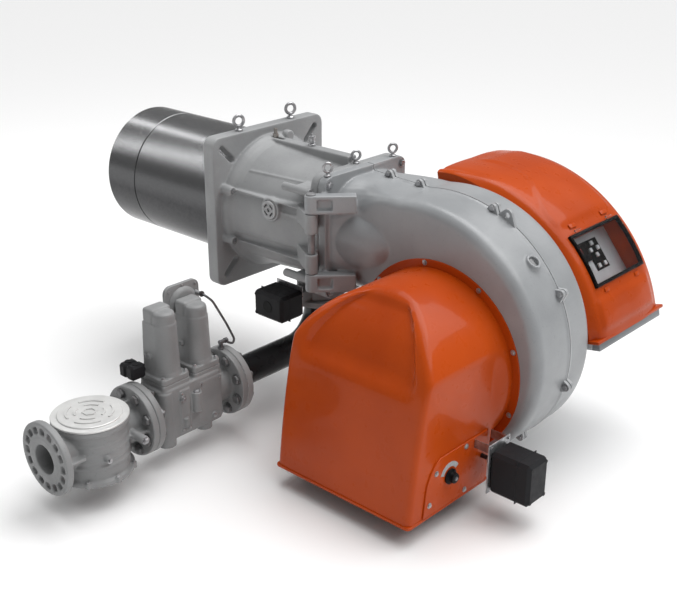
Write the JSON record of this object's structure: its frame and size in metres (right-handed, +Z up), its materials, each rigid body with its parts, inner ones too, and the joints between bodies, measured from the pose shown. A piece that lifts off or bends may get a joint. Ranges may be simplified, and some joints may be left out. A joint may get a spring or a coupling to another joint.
{
  "type": "industrial gas burner",
  "caption": "Industrial gas burner with spiral fan housing, orange air hood, control panel, round blast tube on a square boiler flange, and a flanged gas train.",
  "frame": {"origin": "centre of the boiler flange's boiler-side face, on the blast tube's axis", "axes": "+X along the blast tube's axis away from the boiler, +Y towards the fan motor, +Z up"},
  "size_m": [1.7166, 1.4983, 0.8298],
  "materials": {
    "cast_grey_paint": "fine textured grey paint on a casting",
    "galvanised_sheet": "dark rolled sheet with a spangle",
    "bare_steel": "zinc plated",
    "train_grey_casting": "rough grey paint on a casting",
    "black_pipe_paint": "gloss black",
    "black_plastic": "satin moulded",
    "pale_lid_metal": "satin",
    "white_ceramic": "glazed",
    "clear_plastic": "clear",
    "orange_paint": "gloss orange powder coat",
    "motor_grey_paint": "satin grey paint",
    "panel_grey_sheet": "grey paint on sheet",
    "pale_key_plastic": "pale moulded"
  },
  "bodies": {
    "head_and_train": {"head_casting": "cast_grey_paint", "inspection_plug": "cast_grey_paint", "blast_tube": "galvanised_sheet", "blast_tube_end_ring": "galvanised_sheet", "hinge_pin": "bare_steel", "flange_eye_bolt_near": "bare_steel", "flange_eye_bolt_far": "bare_steel", "neck_eye_bolt": "bare_steel", "pressure_tap": "bare_steel", "gas_lance": "bare_steel", "gas_butterfly_body": "train_grey_casting", "gas_pipe": "black_pipe_paint", "gas_valve_body": "train_grey_casting", "valve_actuator_inlet": "train_grey_casting", "valve_actuator_outlet": "train_grey_casting", "governor_housing": "train_grey_casting", "impulse_tube": "bare_steel", "gas_pressure_switch": "black_plastic", "gas_filter_body": "train_grey_casting", "filter_cover": "pale_lid_metal", "filter_cartridge": "bare_steel", "gas_servo": "black_plastic"},
    "butterfly": {"gas_butterfly_disc": "bare_steel"},
    "inlet_valve_disc": {"valve_disc_inlet": "bare_steel"},
    "outlet_valve_disc": {"valve_disc_outlet": "bare_steel"},
    "mixing_head": {"flame_disc": "bare_steel", "head_adjuster_rod": "bare_steel", "ignition_electrodes": "white_ceramic"},
    "fan_unit": {"volute_front_shell": "cast_grey_paint", "volute_rear_shell": "cast_grey_paint", "sight_glass": "clear_plastic", "fan_eye_bolt_near": "bare_steel", "fan_eye_bolt_far": "bare_steel", "inlet_cone": "galvanised_sheet", "air_hood": "orange_paint", "hood_side_panel": "orange_paint", "air_servo": "black_plastic", "air_servo_bracket": "bare_steel", "motor_housing": "motor_grey_paint", "motor_fan_cowl": "motor_grey_paint", "panel_cover": "orange_paint", "panel_base": "panel_grey_sheet", "panel_facia": "panel_grey_sheet", "window_frame": "black_plastic", "display_module": "black_plastic"},
    "rotor": {"impeller": "pale_lid_metal", "motor_rotor": "bare_steel", "motor_cooling_fan": "black_plastic"},
    "rear_damper": {"air_damper_rear": "galvanised_sheet"},
    "front_damper": {"air_damper_front": "galvanised_sheet", "damper_knob": "black_plastic"},
    "window_flap": {"window_flap": "clear_plastic"},
    "left_rocker": {"rocker_switch_left": "black_plastic"},
    "right_rocker": {"rocker_switch_right": "black_plastic"},
    "key_1": {"key_1": "pale_key_plastic"},
    "key_2": {"key_2": "pale_key_plastic"},
    "key_3": {"key_3": "pale_key_plastic"},
    "key_4": {"key_4": "pale_key_plastic"},
    "key_5": {"key_5": "pale_key_plastic"},
    "key_6": {"key_6": "pale_key_plastic"}
  },
  "joints": [
    {"name": "fan_unit_swing", "type": "hinge", "parent": "head_and_train", "child": "fan_unit", "pos_m": [0.4185, -0.21, 0], "axis": [0, 0, 1], "range_deg": [-32, 0]},
    {"name": "rotor_spin", "type": "hinge", "parent": "fan_unit", "child": "rotor", "pos_m": [0.79, 0, -0.255], "axis": [0, 1, 0], "continuous": true},
    {"name": "rear_damper_turn", "type": "hinge", "parent": "fan_unit", "child": "rear_damper", "pos_m": [0.79, -0.21, -0.43], "axis": [1, 0, 0], "range_deg": [0, 90]},
    {"name": "front_damper_turn", "type": "hinge", "parent": "fan_unit", "child": "front_damper", "pos_m": [0.79, -0.345, -0.43], "axis": [1, 0, 0], "range_deg": [0, 90]},
    {"name": "butterfly_turn", "type": "hinge", "parent": "head_and_train", "child": "butterfly", "pos_m": [0.243, 0, -0.238], "axis": [0, 1, 0], "range_deg": [0, 90]},
    {"name": "inlet_valve_lift", "type": "slide", "parent": "head_and_train", "child": "inlet_valve_disc", "axis": [0, 0, 1], "range_m": [0, 0.012], "stiffness_N_per_m": 800, "springref_m": -0.01},
    {"name": "outlet_valve_lift", "type": "slide", "parent": "head_and_train", "child": "outlet_valve_disc", "axis": [0, 0, 1], "range_m": [0, 0.012], "stiffness_N_per_m": 800, "springref_m": -0.01},
    {"name": "mixing_head_slide", "type": "slide", "parent": "head_and_train", "child": "mixing_head", "axis": [1, 0, 0], "range_m": [0, 0.03]},
    {"name": "window_flap_hinge", "type": "hinge", "parent": "fan_unit", "child": "window_flap", "pos_m": [0.98584, 0, 0.06024], "axis": [0, -1, 0], "range_deg": [0, 100]},
    {"name": "left_rocker_tilt", "type": "hinge", "parent": "fan_unit", "child": "left_rocker", "pos_m": [1.01805, 0.213, -0.07649], "axis": [0, 1, 0], "range_deg": [-5, 5]},
    {"name": "right_rocker_tilt", "type": "hinge", "parent": "fan_unit", "child": "right_rocker", "pos_m": [1.01805, 0.237, -0.07649], "axis": [0, 1, 0], "range_deg": [-5, 5]},
    {"name": "key_1_press", "type": "slide", "parent": "fan_unit", "child": "key_1", "axis": [-0.7799, 0, -0.6259], "range_m": [0, 0.0015], "stiffness_N_per_m": 400, "springref_m": -0.0005},
    {"name": "key_2_press", "type": "slide", "parent": "fan_unit", "child": "key_2", "axis": [-0.7799, 0, -0.6259], "range_m": [0, 0.0015], "stiffness_N_per_m": 400, "springref_m": -0.0005},
    {"name": "key_3_press", "type": "slide", "parent": "fan_unit", "child": "key_3", "axis": [-0.7799, 0, -0.6259], "range_m": [0, 0.0015], "stiffness_N_per_m": 400, "springref_m": -0.0005},
    {"name": "key_4_press", "type": "slide", "parent": "fan_unit", "child": "key_4", "axis": [-0.7799, 0, -0.6259], "range_m": [0, 0.0015], "stiffness_N_per_m": 400, "springref_m": -0.0005},
    {"name": "key_5_press", "type": "slide", "parent": "fan_unit", "child": "key_5", "axis": [-0.7799, 0, -0.6259], "range_m": [0, 0.0015], "stiffness_N_per_m": 400, "springref_m": -0.0005},
    {"name": "key_6_press", "type": "slide", "parent": "fan_unit", "child": "key_6", "axis": [-0.7799, 0, -0.6259], "range_m": [0, 0.0015], "stiffness_N_per_m": 400, "springref_m": -0.0005}
  ],
  "couplings": [
    {"joint": "front_damper_turn", "follows": "rear_damper_turn", "ratio": 1}
  ]
}
